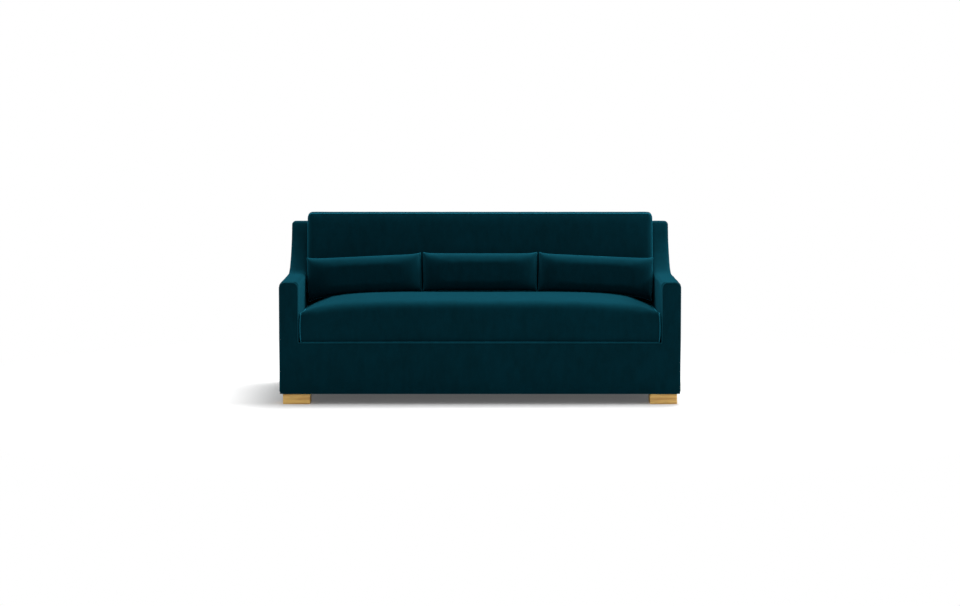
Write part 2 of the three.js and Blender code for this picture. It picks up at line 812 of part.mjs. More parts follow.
// A knife-edged pillow about its own middle, its rear flattened where it leans
function pillowGeometry(inset, segments) {
  return formedBox(segments, (p) => {
    const u = spread(p.x);
    const w = spread(p.z);
    const fullAcross = 1 - Math.abs(u) ** pillowEdgePower;
    const fullUp = 1 - Math.abs(w) ** pillowEdgePower;
    const full = (fullAcross * fullUp) ** pillowBlend;
    const halfSeam = Math.max(pillowSeam - inset, fit) / 2;
    const front = halfSeam + (pillowFrontBulge - inset) * full;
    const rear = halfSeam + (pillowRearBulge - inset) * Math.min(pillowRearFlatShare * full, 1);
    p.x = u * (pillowWidth / 2 - 2 * inset - pillowPinch * (1 - w ** 2));
    p.z = w * (pillowHeight / 2 - 2 * inset - pillowPinch * (1 - u ** 2));
    p.y = p.y < 0 ? -front : rear;
  });
}

// A filled cushion: its cover with a zip opening, and the filling inside the cover
function coverWithOpening(outer, inner, opening) {
  return geometryOf(solidOf(outer).subtract(solidOf(inner)).subtract(solidOf(opening)));
}

function addSeatCushion() {
  const zipZ = seatBottom + seatSideHeight / 2;
  const zip = block(-zipShare * seatHalfWidth, zipShare * seatHalfWidth,
    seatRearY - seatTuck - seatDrawIn - 2 * seatCover, seatRearY + overrun, zipZ, zipZ + zipHeight);
  const cover = coverWithOpening(seatGeometry(0, seatSteps.cover),
    seatGeometry(seatCover, seatSteps.lining), zip);
  const core = seatGeometry(seatCover + fit, seatSteps.lining);
  addPiece(cushionGroup, 'seat_cushion_cover', cover, finishes.velvet);
  addPiece(cushionGroup, 'seat_cushion_core', core, finishes.foam);
}

function addBackCushion() {
  const middleY = backFaceY(backCushionBottom) - backCushionThickness / 2;
  const zip = block(-zipShare * seatHalfWidth, zipShare * seatHalfWidth, middleY,
    middleY + zipHeight, backCushionBottom - overrun, backCushionBottom + 2 * backCushionCover);
  const cover = coverWithOpening(backCushionGeometry(0, backCushionSteps.cover),
    backCushionGeometry(backCushionCover, backCushionSteps.lining), zip);
  const core = backCushionGeometry(backCushionCover + fit, backCushionSteps.lining);
  addPiece(cushionGroup, 'back_cushion_cover', cover, finishes.velvet);
  addPiece(cushionGroup, 'back_cushion_core', core, finishes.fibre);
}

// A pillow's place at a height, against the back cushion's front
function pillowPlace(side, centreZ) {
  const place = new THREE.Object3D();
  const lean = (pillowSeam / 2 + pillowRearBulge + fit) / Math.cos(backLean);
  place.position.set(side * (pillowWidth + pillowGap), backCushionFrontPlaneY(centreZ) - lean, centreZ);
  place.rotation.set(-backLean, side * pillowRoll, 0);
  place.updateMatrix();
  return place;
}

// Lowers or lifts a pillow until its lowest point just clears the seat
function settledPillow(geometry, side) {
  const positions = geometry.attributes.position;
  const point = new THREE.Vector3();
  let centreZ = seatBottom + seatHeight + pillowHeight / 2;
  for (let pass = 0; pass < settlingPasses; pass++) {
    const place = pillowPlace(side, centreZ);
    let lift = -Infinity;
    for (let i = 0; i < positions.count; i++) {
      point.fromBufferAttribute(positions, i).applyMatrix4(place.matrix);
      lift = Math.max(lift, seatTopZ(point.x, point.y) - point.z);
    }
    centreZ += lift + fit;
  }
  return pillowPlace(side, centreZ);
}

function addPillows() {
  const outer = pillowGeometry(0, pillowSteps.cover);
  const zip = block(-zipShare * pillowWidth / 2, zipShare * pillowWidth / 2, -zipHeight / 2,
    zipHeight / 2, -pillowHeight, -pillowHeight / 2 + 4 * pillowCover + pillowPinch);
  const cover = coverWithOpening(outer, pillowGeometry(pillowCover, pillowSteps.lining), zip);
  const insert = pillowGeometry(pillowCover + fit, pillowSteps.lining);
  for (const [label, side] of [['left', -1], ['middle', 0], ['right', 1]]) {
    const place = settledPillow(outer, side);
    const pieces = [
      addPiece(cushionGroup, `lumbar_pillow_cover_${label}`, cover, finishes.velvet),
      addPiece(cushionGroup, `lumbar_pillow_insert_${label}`, insert, finishes.fibre),
    ];
    for (const piece of pieces) {
      piece.position.copy(place.position);
      piece.rotation.copy(place.rotation);
    }
  }
}

addRails();
addBackFrame();
addArmFrame();
addFeet();
addSprings();
addWebbing();
addArmCovers();
addFrontCover();
addBackCovers();
addDeckAndDustCover();
addSeatCushion();
addBackCushion();
addPillows();

export default sofa;
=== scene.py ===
# A three-seat sofa in dark teal velvet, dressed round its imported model.
# Metres, +Z up, X across the width, the front towards -Y, as in the frame.
import json
import math

import bmesh
import bpy
from mathutils import Matrix, Vector, noise


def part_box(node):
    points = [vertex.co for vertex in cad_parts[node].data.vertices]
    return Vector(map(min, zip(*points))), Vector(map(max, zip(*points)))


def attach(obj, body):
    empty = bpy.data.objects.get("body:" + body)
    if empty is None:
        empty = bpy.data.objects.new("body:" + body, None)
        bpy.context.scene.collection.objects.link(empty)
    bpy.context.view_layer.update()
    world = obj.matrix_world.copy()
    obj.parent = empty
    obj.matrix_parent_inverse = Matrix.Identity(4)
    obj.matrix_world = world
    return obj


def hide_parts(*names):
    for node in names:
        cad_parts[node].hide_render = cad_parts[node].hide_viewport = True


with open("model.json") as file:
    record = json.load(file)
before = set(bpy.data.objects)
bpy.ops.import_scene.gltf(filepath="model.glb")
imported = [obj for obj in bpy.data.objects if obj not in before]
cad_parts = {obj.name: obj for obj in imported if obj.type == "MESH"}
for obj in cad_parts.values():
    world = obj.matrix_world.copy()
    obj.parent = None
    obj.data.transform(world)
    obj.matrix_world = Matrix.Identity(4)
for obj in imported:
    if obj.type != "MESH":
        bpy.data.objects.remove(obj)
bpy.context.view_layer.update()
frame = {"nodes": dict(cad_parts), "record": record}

# Sizes that the frame's nodes give
ARM_LOW, ARM_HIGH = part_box("arm_cover_right")
FRONT_LOW, FRONT_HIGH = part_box("front_cover")
OUTSIDE_LOW, OUTSIDE_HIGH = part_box("outside_back_cover")
INSIDE_LOW, INSIDE_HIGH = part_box("inside_back_cover")
DECK_LOW, DECK_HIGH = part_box("deck_pad")
CLOTH_LOW, CLOTH_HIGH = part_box("dust_cover")
BACK_CUSHION_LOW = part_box("back_cushion_cover")[0].z

FRONT_Y = FRONT_LOW.y
REAR_Y = OUTSIDE_HIGH.y
SIDE_X = ARM_HIGH.x
ARM_INNER_X = ARM_LOW.x
FRAME_TOP = ARM_HIGH.z
BODY_BOTTOM = ARM_LOW.z
DECK_TOP = DECK_HIGH.z

# Sizes that the part's source also names
GAP = 0.0003
ARM_TOP = 0.605
ARM_PAD = 0.014
ARM_EDGE = 0.020
SWEEP_ANGLE = math.radians(66)
SWEEP_RADIUS = 1.2146 * (FRAME_TOP - ARM_TOP)
CREST_RADIUS = 0.022
CREST_SETBACK = 0.030
BACK_LEAN = math.radians(10.25)
BACK_THICKNESS = 0.054
INSIDE_PAD = 0.014
FACE_EDGE = 0.010
FACE_CORNER = 0.028
LOWER_CORNER = 0.014
INNER_WALL_BOTTOM = 0.276

# Frame covers
SIDE_EASE = 0.0015
ARM_RIPPLE = 0.0016
BACK_RIPPLE = 0.0015
INSIDE_TUCK = 0.003
DECK_EDGE = 0.005
DECK_BORDER = 0.11
DECK_SEAM_WIDTH = 0.006
DECK_SEAM_DEPTH = 0.0025
DECK_RIPPLE = 0.0012
ROLL_EDGE = 0.009
CLOTH_SAG = 0.004
CLOTH_RIPPLE = 0.003
CLOTH_THICKNESS = 0.0008
FOOT_EDGE = 0.003
CELL = 0.03

# Of the names below, a power says how near to its edge a form turns: the higher, the nearer.
# Slack is the extra share that a cover is cut, and reach how far its filling may move it.

# Seat cushion
SEAT_FRONT_INSET = 0.009
SEAT_HEIGHT = 0.211
SEAT_SIDE_HEIGHT = 0.122
SEAT_CORNER_RISE = 0.024
SEAT_FRONT_FALL = 0.022
SEAT_REAR_FALL = 0.030
SEAT_SUMMIT = -0.22
SEAT_CROWN_POWER = 6
SEAT_CROWN_FULLNESS = 0.78
SEAT_CORNER_POWER = 4
SEAT_ROLL = 0.040
SEAT_ROLL_AT_SIDES = 0.35
SEAT_ROLL_GROWTH = 6
SEAT_TUCK = 0.004
SEAT_DRAW_IN = 0.005
SEAT_CORNER_TUCK = 0.006
SEAT_CORNER_TUCK_POWER = 14
SEAT_FILLING = 0.003
SEAT_SLACK = 0.008
SEAT_REACH = 0.007
SEAT_BULGE = 0.006
SEAT_HALF_WIDTH = ARM_INNER_X - SIDE_EASE
SEAT_BOTTOM = DECK_TOP + GAP

# Back cushion
BACK_CUSHION_RISE = 0.067
BACK_CUSHION_THICKNESS = 0.222
BACK_FRONT_PULL = 0.004
BACK_SIDE_ROUND = 0.025
BACK_REAR_PULL = 0.016
BACK_CORNER = 0.023
BACK_FRONT_POWER = 30
BACK_REAR_POWER = 12
BACK_TUCK = 0.0035
BACK_TOP_ROLL = 0.011
BACK_TOP_ROLL_POWER = 12
BACK_TOP_FALL = 0.030
BACK_FILLING = 0.004
BACK_DRAW = 0.7
BACK_SLACK = 0.004
BACK_REACH = 0.004

# Lumbar pillows
PILLOW_WIDTH = 0.584
PILLOW_HEIGHT = 0.204
PILLOW_FRONT_BULGE = 0.074
PILLOW_REAR_BULGE = 0.048
PILLOW_SIDE_POWER = 7
PILLOW_TOP_POWER = 4.2
PILLOW_FOOT_POWER = 8
PILLOW_FULLNESS = 0.38
PILLOW_REAR_FLATNESS = 1.4
PILLOW_SEAM = 0.006
PILLOW_PINCH = 0.008
PILLOW_PINCH_POWER = 14
PILLOW_SIDE_PINCH = 0.003
PILLOW_SIDE_PINCH_POWER = 6
PILLOW_ROLL = math.radians(2.6)
PILLOW_DROOP = 0.022
PILLOW_DROOP_POWER = 3
PILLOW_SLACK = 0.012
PILLOW_SLACK_STEP = 0.002
PILLOW_REACH = 0.006
PILLOW_SWELL = 0.004
PILLOW_SINK = 0.0025
PILLOW_COVER = 0.008

# Filling and seams of every cushion
COVER = 0.0123
DRAW = 0.35
PRESSURE = 3
SETTLING_FRAMES = 20
EVENING_PASSES = 8
DENT = 0.0015
WELT_RADIUS = 0.0025

# How near two numbers or points count as the same
SAME = 1e-4
TOUCH = 1e-5

# The photograph's camera
SENSOR = 36
LENS_SHARE = 2623.7 / 960
CAMERA_PLACE = (0, FRONT_Y - 12.867, 1.6806)
CAMERA_PITCH = math.radians(5.228)

# The stage
WORLD_LIGHT = 0.64
LAMP_TARGET = (0, 0, 0.4)
FLOOR_RADIUS = 40
FLOOR_FADE = (1.5, 3.0)
FLOOR_GREY = 0.79
FLOOR_LIFT = 0.09


class Value:
    """A number that varies over a surface. Arithmetic on it adds Math nodes."""

    def __init__(self, finish, socket):
        self.finish = finish
        self.socket = socket

    def maths(self, operation, *terms):
        settings = {"operation": operation}
        return self.finish.add("ShaderNodeMath", settings, dict(enumerate(terms)))

    def __add__(self, other):
        return self.maths("ADD", self, other)

    def __sub__(self, other):
        return self.maths("SUBTRACT", self, other)

    def __rsub__(self, other):
        return self.maths("SUBTRACT", other, self)

    def __mul__(self, other):
        return self.maths("MULTIPLY", self, other)

    __radd__ = __add__
    __rmul__ = __mul__


class Finish:
    """A material, built node by node."""

    def __init__(self, name, owner=None):
        self.owner = owner or bpy.data.materials.new(name)
        self.owner.use_nodes = True
        self.tree = self.owner.node_tree
        self.tree.nodes.clear()

    def add(self, kind, settings=None, sockets=None, output=0):
        """Adds a node, sets it, feeds its sockets and returns one of its outputs."""
        node = self.tree.nodes.new(kind)
        for name, value in (settings or {}).items():
            if name == "stops":
                self.set_stops(node.color_ramp, value)
            else:
                setattr(node, name, value)
        for name, value in (sockets or {}).items():
            if isinstance(value, Value):
                self.tree.links.new(value.socket, node.inputs[name])
            else:
                node.inputs[name].default_value = value
        return Value(self, node.outputs[output]) if node.outputs else None

    def set_stops(self, ramp, stops):
        while len(ramp.elements) < len(stops):
            ramp.elements.new(1)
        for element, (position, shade) in zip(ramp.elements, stops):
            element.position = position
            element.color = (shade, shade, shade, 1)

    def place(self, scale=(1, 1, 1)):
        """Object coordinates, stretched by a scale."""
        coordinates = self.add("ShaderNodeTexCoord", output="Object")
        return self.add("ShaderNodeMapping", None, {"Vector": coordinates, "Scale": scale})

    def noise(self, vector, scale, detail=2, roughness=0.5):
        return self.add("ShaderNodeTexNoise", None, {
            "Vector": vector, "Scale": scale, "Detail": detail, "Roughness": roughness,
        })

    def blend(self, factor, first, second):
        """A colour between two. The Mix node's sockets go by number, as its names repeat."""
        settings = {"data_type": "RGBA", "clamp_factor": True}
        sockets = {0: factor, 6: first, 7: second}
        return self.add("ShaderNodeMix", settings, sockets, output=2)

    def ramp(self, factor, low, high):
        """A factor spread over 0 to 1 between two of its levels."""
        settings = {"stops": [(low, 0), (high, 1)]}
        return self.add("ShaderNodeValToRGB", settings, {"Fac": factor})

    def bump(self, height, distance, strength=1, normal=None):
        sockets = {"Height": height, "Distance": distance, "Strength": strength}
        if normal:
            sockets["Normal"] = normal
        return self.add("ShaderNodeBump", None, sockets)

    def surface(self, **sockets):
        """Ends the material in a Principled BSDF, fed by socket names with _ for spaces."""
        named = {name.replace("_", " "): value for name, value in sockets.items()}
        shader = self.add("ShaderNodeBsdfPrincipled", None, named)
        self.add("ShaderNodeOutputMaterial", None, {"Surface": shader})
        return self.owner


def colour(red, green, blue):
    """An sRGB colour from 0 to 255 as the linear colour that nodes take."""
    def linear(level):
        share = level / 255
        return share / 12.92 if share <= 0.04045 else ((share + 0.055) / 1.055) ** 2.4
    return (linear(red), linear(green), linear(blue), 1)


def velvet(name, dark, light, tint):
    """Short dense pile, mottled from dark to light, with a tinted sheen along its slopes."""
    finish = Finish(name)
    place = finish.place()
    patches = finish.noise(place, scale=5.5, detail=3, roughness=0.55)
    strokes = finish.noise(finish.place((1, 1, 0.4)), scale=34, detail=4, roughness=0.6)
    pile = finish.noise(place, scale=1300, detail=2, roughness=0.7)
    brushed = patches * 0.45 + strokes * 0.55
    lean = finish.ramp(brushed, 0.36, 0.64)
    teal = finish.blend(lean, colour(*dark), colour(*light))
    speckled = finish.blend(pile * 0.35, teal, colour(0, 7, 9))
    soft = finish.bump(brushed, distance=0.004, strength=0.35)
    normal = finish.bump(pile, distance=0.0006, strength=0.5, normal=soft)
    return finish.surface(
        Base_Color=speckled,
        Roughness=brushed * 0.2 + 0.72,
        Normal=normal,
        Specular_IOR_Level=0.0,
        Sheen_Weight=1.0,
        Sheen_Roughness=0.78,
        Sheen_Tint=colour(*tint),
    )


def oak():
    """Pale oiled oak, its grain along X."""
    finish = Finish("oak")
    fibre = finish.noise(finish.place((2.2, 60, 60)), scale=1.6, detail=4, roughness=0.65)
    rings = finish.noise(finish.place((0.9, 14, 14)), scale=2.4, detail=2, roughness=0.5)
    pores = finish.noise(finish.place((18, 420, 420)), scale=1, detail=2, roughness=0.6)
    figure = finish.blend(rings, colour(220, 172, 88), colour(245, 209, 124))
    toned = finish.blend(finish.ramp(fibre, 0.4, 0.62) * 0.75, figure, colour(178, 125, 58))
    pore = finish.ramp(pores, 0.62, 0.74)
    marked = finish.blend(pore * 0.45, toned, colour(128, 86, 44))
    return finish.surface(
        Base_Color=marked,
        Roughness=fibre * 0.15 + 0.42,
        Normal=finish.bump(fibre - pore * 0.5, distance=0.0006, strength=0.4),
    )


def frame_timber():
    """Sawn pale hardwood for the hidden frame, its grain along X."""
    finish = Finish("frame_timber")
    fibre = finish.noise(finish.place((3, 40, 40)), scale=1.4, detail=4, roughness=0.6)
    broad = finish.noise(finish.place((1, 7, 7)), scale=2, detail=2, roughness=0.5)
    figure = finish.blend(broad, colour(196, 161, 112), colour(214, 184, 138))
    toned = finish.blend(fibre * 0.6, figure, colour(160, 121, 76))
    return finish.surface(
        Base_Color=toned,
        Roughness=fibre * 0.15 + 0.62,
        Normal=finish.bump(fibre, distance=0.001, strength=0.4),
    )


def steel(name, shade, roughness):
    """Drawn or plated steel, slightly streaked."""
    finish = Finish(name)
    streaks = finish.noise(finish.place((1, 1, 6)), scale=240, detail=3, roughness=0.6)
    low, high = (colour(*(level * part for level in shade)) for part in (0.82, 1))
    return finish.surface(
        Base_Color=finish.blend(streaks, low, high),
        Roughness=streaks * 0.2 + roughness,
        Metallic=1.0,
    )


def foam():
    """Open-cell foam with small dark pores."""
    finish = Finish("foam")
    cells = finish.add("ShaderNodeTexVoronoi", None, {"Vector": finish.place(), "Scale": 420})
    broad = finish.noise(finish.place(), scale=9)
    aged = finish.blend(broad, colour(228, 217, 184), colour(240, 232, 205))
    return finish.surface(
        Base_Color=finish.blend(cells * 0.5, aged, colour(190, 176, 138)),
        Roughness=0.95,
        Normal=finish.bump(cells, distance=0.001, strength=0.5),
    )


def fibre_fill():
    """White ticking over loose polyester fibre."""
    finish = Finish("fibre_fill")
    weave = finish.noise(finish.place((1, 1, 3)), scale=500)
    broad = finish.noise(finish.place(), scale=12, detail=3)
    return finish.surface(
        Base_Color=finish.blend(broad, colour(226, 225, 219), colour(243, 242, 237)),
        Roughness=0.93,
        Normal=finish.bump(weave + broad * 3, distance=0.002, strength=0.4),
    )


def woven_cloth(name, dark, light, scale):
    """Plain woven cloth, its threads along X and Y."""
    finish = Finish(name)
    across, along = (
        finish.add("ShaderNodeTexWave", {"bands_direction": axis},
                   {"Vector": finish.place(), "Scale": scale, "Distortion": 0.6})
        for axis in "XY")
    threads = across * 0.5 + along * 0.5
    broad = finish.noise(finish.place(), scale=6, detail=3)
    return finish.surface(
        Base_Color=finish.blend(threads * 0.6 + broad * 0.4, colour(*dark), colour(*light)),
        Roughness=broad * 0.1 + 0.86,
        Normal=finish.bump(threads, distance=0.0006, strength=0.5),
    )


VELVET = velvet("velvet", (0, 8, 11), (0, 21, 28), (20, 77, 92))
# The cord velvet's lighter base and brighter sheen tint are a painted highlight for light
# caught along the seams.
PAINTED_HIGHLIGHT_CORD_VELVET = velvet("cord_velvet_painted_highlight", (8, 57, 71), (14, 71, 88), (40, 137, 160))
# The seam velvet's lighter base and brighter sheen tint are a painted highlight for light
# caught on the panel's rounded edges.
PAINTED_HIGHLIGHT_SEAM_VELVET = velvet("seam_velvet_painted_highlight", (4, 32, 40), (8, 42, 52), (26, 92, 108))
OAK = oak()
TIMBER = frame_timber()
FOAM = foam()
FIBRE = fibre_fill()
SPRING_STEEL = steel("spring_steel", (128, 130, 134), 0.35)
BOLT_STEEL = steel("bolt_steel", (188, 190, 193), 0.28)
DUST_CLOTH = woven_cloth("dust_cloth", (14, 14, 15), (34, 34, 36), 260)
PLATFORM_CLOTH = woven_cloth("platform_cloth", (10, 26, 31), (24, 48, 55), 220)
WEBBING = woven_cloth("webbing", (52, 44, 34), (104, 91, 72), 120)


def finish_piece(name, bm, material, body, nodes):
    """Turns a bmesh into a smooth piece that rides on a body and stands for nodes."""
    bmesh.ops.recalc_face_normals(bm, faces=bm.faces)
    mesh = bpy.data.meshes.new(name)
    bm.to_mesh(mesh)
    bm.free()
    mesh.materials.append(material)
    mesh.polygons.foreach_set("use_smooth", [True] * len(mesh.polygons))
    piece = bpy.data.objects.new(name, mesh)
    bpy.context.scene.collection.objects.link(piece)
    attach(piece, body)
    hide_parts(*nodes)
    return piece


def swell(point, scale, height, seed):
    """A slow ripple of padding at a point, seeded per piece."""
    return height * noise.noise(point * scale + Vector((seed, 0, 0)))


def subdivided(piece):
    modifier = piece.modifiers.new("Rounding", "SUBSURF")
    modifier.levels = 1
    modifier.render_levels = 1


def box_between(low, high):
    """A plain box between two corners."""
    bm = bmesh.new()
    bmesh.ops.create_cube(bm, size=1)
    bmesh.ops.scale(bm, vec=high - low, verts=bm.verts)
    bmesh.ops.translate(bm, vec=(low + high) / 2, verts=bm.verts)
    return bm


def round_edges(bm, edges, width, segments):
    bmesh.ops.bevel(bm, geom=edges, offset=width, offset_type="OFFSET", segments=segments,
                    profile=0.5, affect="EDGES", clamp_overlap=False, material=-1)


def back_face_y(z):
    """The front of the padded inside back at a height."""
    return REAR_Y - BACK_THICKNESS - (FRAME_TOP - z) * math.tan(BACK_LEAN)


def mirrored(bm):
    """Mirrors a bmesh across the middle of the sofa."""
    bmesh.ops.scale(bm, vec=(-1, 1, 1), verts=bm.verts)
    bmesh.ops.reverse_faces(bm, faces=bm.faces)
    return bm


def arc(centre, radius, start, end, steps):
    """Points round a centre in Y and Z, from one angle to another."""
    turns = [start + (end - start) * i / steps for i in range(steps + 1)]
    return [(centre[0] + radius * math.cos(a), centre[1] + radius * math.sin(a)) for a in turns]


def stretch(start, end, steps):
    """Points after the start on a straight line in Y and Z."""
    shares = [(i + 1) / steps for i in range(steps)]
    return [tuple(a + (b - a) * s for a, b in zip(start, end)) for s in shares]


def arm_top_line(inset):
    """The arm's top line, an inset below its surface, from the front to the rear."""
    reach, climb = math.sin(SWEEP_ANGLE), 1 - math.cos(SWEEP_ANGLE)
    steep_rise = FRAME_TOP - ARM_TOP - (SWEEP_RADIUS + CREST_RADIUS) * climb
    crest = (REAR_Y - CREST_SETBACK, FRAME_TOP - CREST_RADIUS)
    sweep_y = crest[0] - CREST_RADIUS * reach - steep_rise / math.tan(SWEEP_ANGLE)
    sweep = (sweep_y - SWEEP_RADIUS * reach, ARM_TOP + SWEEP_RADIUS)
    hollow = arc(sweep, SWEEP_RADIUS + inset, -math.pi / 2, SWEEP_ANGLE - math.pi / 2, 28)
    round_over = arc(crest, CREST_RADIUS - inset, math.pi / 2 + SWEEP_ANGLE, math.pi / 2, 9)
    front = (ARM_LOW.y, ARM_TOP - inset)
    rear = (ARM_HIGH.y, FRAME_TOP - inset)
    return ([front] + stretch(front, hollow[0], 36) + hollow[1:]
            + stretch(hollow[-1], round_over[0], 5) + round_over[1:]
            + stretch(round_over[-1], rear, 2))


def arm_rows():
    """Rows of points across the arm's cover: outer wall, rounding, top and inner wall."""
    wall_steps, round_steps, top_steps = 20, 6, 4
    rows = []

    def wall(x, bottom, heights):
        top = arm_top_line(ARM_EDGE)
        for share in heights:
            rows.append([(x, y, bottom + (z - bottom) * share) for y, z in top])

    def rounding(x, sign, turns):
        for turn in turns:
            inset = ARM_EDGE * (1 - math.sin(turn))
            inward = ARM_EDGE * (1 - math.cos(turn))
            rows.append([(x - sign * inward, y, z) for y, z in arm_top_line(inset)])

    up = [i / wall_steps for i in range(wall_steps + 1)]
    quarter = [math.pi / 2 * i / round_steps for i in range(1, round_steps + 1)]
    wall(SIDE_X, BODY_BOTTOM, up)
    rounding(SIDE_X, 1, quarter)
    for i in range(1, top_steps):
        x = SIDE_X - ARM_EDGE - (SIDE_X - ARM_INNER_X - 2 * ARM_EDGE) * i / top_steps
        rows.append([(x, y, z) for y, z in arm_top_line(0)])
    rounding(ARM_INNER_X, -1, quarter[::-1])
    wall(ARM_INNER_X, INNER_WALL_BOTTOM, up[::-1])
    return rows


def sheet_of_rows(rows):
    """A grid of faces whose vertices lie on rows of points."""
    bm = bmesh.new()
    bmesh.ops.create_grid(bm, x_segments=len(rows[0]) - 1, y_segments=len(rows) - 1, size=0.5)
    columns, count = len(rows[0]) - 1, len(rows) - 1
    for vert in bm.verts:
        i = round((vert.co.x + 0.5) * columns)
        j = round((vert.co.y + 0.5) * count)
        vert.co = rows[j][i]
    return bm


def padded_shell(bm, pad, ripple, seed):
    """Ripples a skin a little and gives it its padding's thickness inwards."""
    bm.normal_update()
    for vert in bm.verts:
        if not vert.is_boundary:
            vert.co += vert.normal * swell(vert.co, 7, ripple, seed)
    bmesh.ops.solidify(bm, geom=bm.faces, thickness=pad)
    return bm


def make_arms():
    for side in ("right", "left"):
        bm = sheet_of_rows(arm_rows())
        bmesh.ops.recalc_face_normals(bm, faces=bm.faces)
        if side == "left":
            mirrored(bm)
        padded_shell(bm, ARM_PAD, ARM_RIPPLE, seed=3 if side == "left" else 11)
        piece = finish_piece(f"arm_upholstery_{side}", bm, VELVET, "frame",
                             [f"arm_cover_{side}"])


def rounded_corner(corner, before, after, radius, steps=5):
    """Points of an arc that rounds a corner of an outline."""
    corner, before, after = (Vector(p) for p in (corner, before, after))
    if not radius:
        return [corner]
    inward = (before - corner).normalized() * radius
    outward = (after - corner).normalized() * radius
    centre = corner + inward + outward
    points = []
    for i in range(steps + 1):
        turn = math.pi / 2 * i / steps
        points.append(centre - outward * math.cos(turn) - inward * math.sin(turn))
    return points


def panel(corners, outer_y, rear_y, edge):
    """A flat panel from an outline in X and Z, with rounded outer edges, cut into cells."""
    bm = bmesh.new()
    outline = []
    for i, (x, z, radius) in enumerate(corners):
        before, after = corners[i - 1][:2], corners[(i + 1) % len(corners)][:2]
        outline += rounded_corner((x, z), before, after, radius)
    verts = [bm.verts.new((p.x, outer_y, p.y)) for p in outline]
    face = bm.faces.new(verts)
    sides = bmesh.ops.extrude_face_region(bm, geom=[face])
    moved = [v for v in sides["geom"] if isinstance(v, bmesh.types.BMVert)]
    bmesh.ops.translate(bm, vec=(0, rear_y - outer_y, 0), verts=moved)
    rim = [e for e in bm.edges if all(abs(v.co.y - outer_y) < GAP for v in e.verts)]
    round_edges(bm, rim, edge, segments=5)
    cut_into_cells(bm)
    return bm


def cut_into_cells(bm):
    """Cuts a bmesh along evenly spaced planes across X, Y and Z."""
    for axis in range(3):
        low = min(v.co[axis] for v in bm.verts)
        high = max(v.co[axis] for v in bm.verts)
        count = int((high - low) / CELL)
        normal = Vector((0, 0, 0))
        normal[axis] = 1
        for i in range(1, count):
            place = normal * (low + (high - low) * i / count)
            cut(bm, place, normal)


def cut(bm, place, normal):
    """Cuts a bmesh along one plane and keeps both parts."""
    bmesh.ops.bisect_plane(bm, geom=bm.verts[:] + bm.edges[:] + bm.faces[:], dist=TOUCH,
                           plane_co=place, plane_no=normal)


def make_front_panel():
    bm = panel([
        (-SIDE_X, BODY_BOTTOM, LOWER_CORNER),
        (SIDE_X, BODY_BOTTOM, LOWER_CORNER),
        (SIDE_X, ARM_TOP, FACE_CORNER),
        (ARM_INNER_X, ARM_TOP, FACE_CORNER),
        (ARM_INNER_X, DECK_TOP, 0),
        (-ARM_INNER_X, DECK_TOP, 0),
        (-ARM_INNER_X, ARM_TOP, FACE_CORNER),
        (-SIDE_X, ARM_TOP, FACE_CORNER),
    ], FRONT_LOW.y, FRONT_HIGH.y, FACE_EDGE)
    piece = finish_piece("front_panel", bm, VELVET, "frame", ["front_cover"])
    make_front_seam()


def make_front_seam():
    """The welt round the arms' fronts and along the deck, set in from the panel's edge."""
    sink = FACE_EDGE * (1 - math.sin(math.pi / 4))
    inset = sink - WELT_RADIUS / 2
    outer, inner, top = SIDE_X - inset, ARM_INNER_X + inset, ARM_TOP - inset
    corners = [
        (-outer, BODY_BOTTOM + LOWER_CORNER, 0),
        (-outer, top, FACE_CORNER - inset),
        (-inner, top, FACE_CORNER - inset),
        (-inner, DECK_TOP - inset, 0),
        (inner, DECK_TOP - inset, 0),
        (inner, top, FACE_CORNER - inset),
        (outer, top, FACE_CORNER - inset),
        (outer, BODY_BOTTOM + LOWER_CORNER, 0),
    ]
    points = []
    for i, (x, z, radius) in enumerate(corners):
        before, after = corners[max(i - 1, 0)][:2], corners[min(i + 1, len(corners) - 1)][:2]
        points += rounded_corner((x, z), before, after, radius)
    run = [(p.x, FRONT_Y + inset, p.y) for p in points]
    # The welt's velvet is painted lighter than the panel's, as a highlight along the panel's
    # edge.
    make_welt("front_panel_welt", [(run, False)], "frame", PAINTED_HIGHLIGHT_SEAM_VELVET)


def make_outside_back():
    bm = panel([
        (-SIDE_X, BODY_BOTTOM, LOWER_CORNER),
        (SIDE_X, BODY_BOTTOM, LOWER_CORNER),
        (SIDE_X, FRAME_TOP, ARM_EDGE),
        (-SIDE_X, FRAME_TOP, ARM_EDGE),
    ], OUTSIDE_HIGH.y, OUTSIDE_LOW.y, FACE_EDGE)
    piece = finish_piece("outside_back", bm, VELVET, "frame", ["outside_back_cover"])


def make_inside_back():
    bottom = INSIDE_LOW.z
    foot = (back_face_y(bottom), bottom)
    top_corner = (back_face_y(FRAME_TOP), FRAME_TOP)
    shoulder = (back_face_y(FRAME_TOP - CREST_RADIUS), FRAME_TOP - CREST_RADIUS)
    start = math.pi - BACK_LEAN
    centre = (shoulder[0] + CREST_RADIUS * math.cos(BACK_LEAN), FRAME_TOP - CREST_RADIUS)
    crest = arc(centre, CREST_RADIUS, start, math.pi / 2, 8)
    rear = (INSIDE_HIGH.y, FRAME_TOP)
    profile = [foot] + stretch(foot, crest[0], 22) + crest[1:] + stretch(crest[-1], rear, 2)
    half = INSIDE_HIGH.x + INSIDE_TUCK
    steps = 72
    rows = [[(half * (2 * i / steps - 1), y, z) for i in range(steps + 1)] for y, z in profile]
    bm = sheet_of_rows(rows)
    bmesh.ops.recalc_face_normals(bm, faces=bm.faces)
    if sum(f.normal.y for f in bm.faces) > 0:
        bmesh.ops.reverse_faces(bm, faces=bm.faces)
    padded_shell(bm, INSIDE_PAD, BACK_RIPPLE, seed=21)
    piece = finish_piece("inside_back", bm, VELVET, "frame", ["inside_back_cover"])


